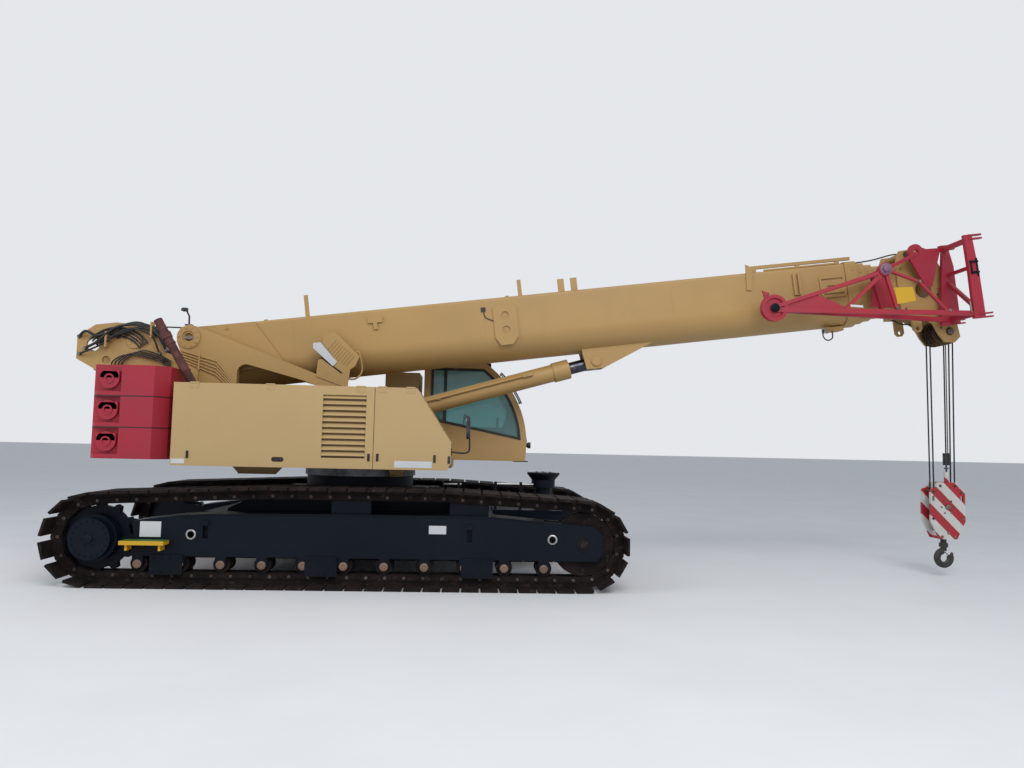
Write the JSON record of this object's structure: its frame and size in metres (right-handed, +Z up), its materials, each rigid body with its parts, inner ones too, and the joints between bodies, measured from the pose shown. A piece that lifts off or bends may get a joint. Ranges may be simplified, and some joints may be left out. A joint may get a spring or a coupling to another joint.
{
  "type": "crawler crane",
  "caption": "Telescopic crawler crane with a low parked boom, striped hook block, folded jib adapter, cab, stacked counterweights and extending tracks.",
  "frame": {"origin": "on the ground, at the centre of the whole crane's bounding box as parked", "axes": "+X forwards to the boom's head, +Y to the cab's side (the crane's left), +Z up"},
  "size_m": [13.578, 3.5, 5.2114],
  "materials": {
    "yellow_paint": "faded semi-gloss paint",
    "red_paint": "semi-gloss paint",
    "dark_paint": "satin paint",
    "step_paint": "worn paint",
    "track_iron": "worn and rusty",
    "bare_steel": "oiled",
    "rod_steel": "polished rod",
    "rope_steel": "greased rope",
    "sheave_iron": "worn",
    "tail_pipe": "rusty",
    "hose_rubber": "matt",
    "window_glass": "tinted",
    "seat_cloth": "woven",
    "black_plastic": "matt",
    "hook_paint": "worn black paint",
    "block_paint": "red and white stripes"
  },
  "bodies": {
    "undercarriage": {"undercarriage": "dark_paint", "slew_ring": "bare_steel", "support_jack": "dark_paint"},
    "right_track": {"track_frame_right": "dark_paint", "track_right": "track_iron", "wheels_right": "track_iron", "final_drive_right": "dark_paint", "step_right": "step_paint"},
    "left_track": {"track_frame_left": "dark_paint", "track_left": "track_iron", "wheels_left": "track_iron", "final_drive_left": "dark_paint", "step_left": "step_paint"},
    "upper_carriage": {"turntable": "yellow_paint", "counterweights": "red_paint", "engine_block": "dark_paint", "engine_housing": "yellow_paint", "left_housing": "yellow_paint", "exhaust": "tail_pipe", "winch_frame": "yellow_paint", "tail_hoses": "hose_rubber", "boom_pipes": "yellow_paint", "cab_shell": "yellow_paint", "cab_windows": "window_glass", "cab_seat": "seat_cloth", "cab_mirror": "black_plastic"},
    "winch_drum": {"winch_drum": "sheave_iron"},
    "engine_door_rear": {"engine_door_rear": "yellow_paint"},
    "engine_door_front": {"engine_door_front": "yellow_paint"},
    "cab_door": {"cab_door": "yellow_paint"},
    "boom": {"boom_base": "yellow_paint", "boom_fittings": "yellow_paint"},
    "luff_barrel": {"luff_barrel": "yellow_paint"},
    "luff_rod": {"luff_rod": "rod_steel"},
    "boom_section_1": {"boom_section_1": "yellow_paint"},
    "boom_section_2": {"boom_section_2": "yellow_paint"},
    "boom_section_3": {"boom_section_3": "yellow_paint"},
    "boom_section_4": {"boom_section_4": "yellow_paint"},
    "boom_top": {"boom_section_5": "yellow_paint", "boom_head": "yellow_paint", "jib_adapter": "red_paint"},
    "head_sheaves": {"head_sheaves": "sheave_iron"},
    "hook_gear": {"hoist_falls": "rope_steel", "limit_weight": "hook_paint", "hook_block": "block_paint"},
    "block_sheaves": {"block_sheaves": "sheave_iron"},
    "hook": {"hook": "hook_paint"}
  },
  "joints": [
    {"name": "slew", "type": "hinge", "parent": "undercarriage", "child": "upper_carriage", "pos_m": [-2.63899, 0, 1.54], "axis": [0, 0, 1], "continuous": true},
    {"name": "spread_right", "type": "slide", "parent": "undercarriage", "child": "right_track", "axis": [0, -1, 0], "range_m": [0, 0.85]},
    {"name": "spread_left", "type": "slide", "parent": "undercarriage", "child": "left_track", "axis": [0, 1, 0], "range_m": [0, 0.85]},
    {"name": "winch_spin", "type": "hinge", "parent": "upper_carriage", "child": "winch_drum", "pos_m": [-5.96899, 0, 3.33], "axis": [0, 1, 0], "continuous": true},
    {"name": "engine_door_rear_hinge", "type": "hinge", "parent": "upper_carriage", "child": "engine_door_rear", "pos_m": [-3.63899, -1.48, 2.665], "axis": [-1, 0, 0], "range_deg": [0, 85]},
    {"name": "engine_door_front_hinge", "type": "hinge", "parent": "upper_carriage", "child": "engine_door_front", "pos_m": [-1.93899, -1.48, 2.665], "axis": [-1, 0, 0], "range_deg": [0, 85]},
    {"name": "cab_door_slide", "type": "slide", "parent": "upper_carriage", "child": "cab_door", "axis": [-1, 0, 0], "range_m": [0, 0.7]},
    {"name": "luff", "type": "hinge", "parent": "upper_carriage", "child": "boom", "pos_m": [-5.10899, 0, 3.385], "axis": [0, -1, 0], "range_deg": [0, 76]},
    {"name": "luff_barrel_pivot", "type": "hinge", "parent": "upper_carriage", "child": "luff_barrel", "pos_m": [-2.93899, 0, 2.13], "axis": [0, -1, 0], "range_deg": [0, 79.06]},
    {"name": "luff_rod_slide", "type": "slide", "parent": "luff_barrel", "child": "luff_rod", "axis": [0.961, 0, 0.2765], "range_m": [0, 3.082]},
    {"name": "telescope_1", "type": "slide", "parent": "boom", "child": "boom_section_1", "axis": [0.9914, 0, 0.1305], "range_m": [0, 8.1]},
    {"name": "telescope_2", "type": "slide", "parent": "boom_section_1", "child": "boom_section_2", "axis": [0.9914, 0, 0.1305], "range_m": [0, 8.1]},
    {"name": "telescope_3", "type": "slide", "parent": "boom_section_2", "child": "boom_section_3", "axis": [0.9914, 0, 0.1305], "range_m": [0, 8.1]},
    {"name": "telescope_4", "type": "slide", "parent": "boom_section_3", "child": "boom_section_4", "axis": [0.9914, 0, 0.1305], "range_m": [0, 8.1]},
    {"name": "telescope_5", "type": "slide", "parent": "boom_section_4", "child": "boom_top", "axis": [0.9914, 0, 0.1305], "range_m": [0, 8.1]},
    {"name": "head_sheave_spin", "type": "hinge", "parent": "boom_top", "child": "head_sheaves", "pos_m": [6.50899, 0, 3.85548], "axis": [0, 1, 0], "continuous": true},
    {"name": "fall_hang", "type": "hinge", "parent": "boom_top", "child": "hook_gear", "pos_m": [6.50899, 0, 3.85548], "axis": [0, -1, 0], "range_deg": [-76, 0]},
    {"name": "block_sheave_spin", "type": "hinge", "parent": "hook_gear", "child": "block_sheaves", "pos_m": [6.50899, 0, 1.1], "axis": [0, 1, 0], "continuous": true},
    {"name": "hook_swivel", "type": "hinge", "parent": "hook_gear", "child": "hook", "pos_m": [6.50899, 0, 0.4], "axis": [0, 0, 1], "continuous": true}
  ],
  "couplings": [
    {"joint": "luff_barrel_pivot", "follows": "luff", "ratio": 1.0337},
    {"joint": "luff_rod_slide", "follows": "luff", "m_per_rad": 2.32},
    {"joint": "fall_hang", "follows": "luff", "ratio": -1},
    {"joint": "telescope_2", "follows": "telescope_1", "ratio": 1},
    {"joint": "telescope_3", "follows": "telescope_1", "ratio": 1},
    {"joint": "telescope_4", "follows": "telescope_1", "ratio": 1},
    {"joint": "telescope_5", "follows": "telescope_1", "ratio": 1}
  ]
}
